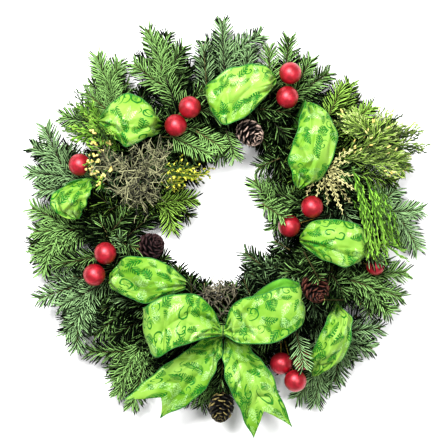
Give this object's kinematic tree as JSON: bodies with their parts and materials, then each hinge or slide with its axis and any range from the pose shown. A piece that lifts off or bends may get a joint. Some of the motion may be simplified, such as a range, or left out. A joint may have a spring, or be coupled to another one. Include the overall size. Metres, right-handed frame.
{
  "type": "evergreen wreath",
  "caption": "Round fresh evergreen door wreath on a moss-packed wire frame, with ribbon puffs, a large bow, red baubles and cones.",
  "frame": {"origin": "on the surface that the wreath lies on, below the middle of its outline", "axes": "+Z out of the wreath's face, +Y towards its top as it hangs on a door, with the bow at -Y, +X to the viewer's right"},
  "size_m": [0.5643, 0.5775, 0.1338],
  "materials": {
    "fir_green": "fresh green needles, slightly glossy",
    "fir_blue_green": "fresh blue-green needles with a waxy bloom",
    "fir_yellow_green": "fresh light green needles",
    "cedar": "flat scaly sprays, yellow-green, with small yellow cones",
    "cypress": "weeping string-like twigs, bright yellow-green",
    "dry_twig": "dry grey-beige twigs",
    "moss": "matt packed moss",
    "frame_wire": "dark green lacquered wire",
    "binding_wire": "thin green lacquered wire",
    "ribbon": "lime satin with darker glitter sprigs and wired edges",
    "bauble": "satin red with a soft pearl sheen",
    "bauble_wire": "thin brassy caps and wires",
    "cone": "dry woody scales with paler edges"
  },
  "bodies": {
    "root": {"bauble_e_1": "bauble", "bauble_e_2": "bauble", "bauble_ese_1": "bauble", "bauble_ne_1": "bauble", "bauble_ne_2": "bauble", "bauble_nw_1": "bauble", "bauble_nw_2": "bauble", "bauble_sse_1": "bauble", "bauble_sse_2": "bauble", "bauble_sse_3": "bauble", "bauble_sw_1": "bauble", "bauble_sw_2": "bauble", "bauble_w_1": "bauble", "bauble_wire_e": "bauble_wire", "bauble_wire_ese": "bauble_wire", "bauble_wire_ne": "bauble_wire", "bauble_wire_nw": "bauble_wire", "bauble_wire_sse": "bauble_wire", "bauble_wire_sw": "bauble_wire", "bauble_wire_w": "bauble_wire", "binding_wire": "binding_wire", "bow_loops": "ribbon", "bow_tails": "ribbon", "bow_tie_wire": "binding_wire", "cedar_e": "cedar", "cedar_inner": "cedar", "cedar_w": "cedar", "cone_n": "cone", "cone_s": "cone", "cone_se": "cone", "cone_w": "cone", "cypress_e": "cypress", "fir_e": "fir_blue_green", "fir_ene": "fir_yellow_green", "fir_inner_e": "fir_green", "fir_inner_n": "fir_green", "fir_inner_se": "fir_blue_green", "fir_inner_w": "fir_yellow_green", "fir_n": "fir_green", "fir_ne": "fir_green", "fir_nne": "fir_blue_green", "fir_nnw": "fir_green", "fir_nw": "fir_blue_green", "fir_s": "fir_green", "fir_se": "fir_green", "fir_sse": "fir_blue_green", "fir_sw": "fir_green", "fir_w": "fir_blue_green", "fir_wnw": "fir_green", "moss_ring": "moss", "ribbon_e": "ribbon", "ribbon_n": "ribbon", "ribbon_ne": "ribbon", "ribbon_nw": "ribbon", "ribbon_se": "ribbon", "ribbon_sw": "ribbon", "ribbon_w": "ribbon", "twigs_s": "dry_twig", "twigs_w": "dry_twig", "wire_frame": "frame_wire"}
  },
  "joints": []
}
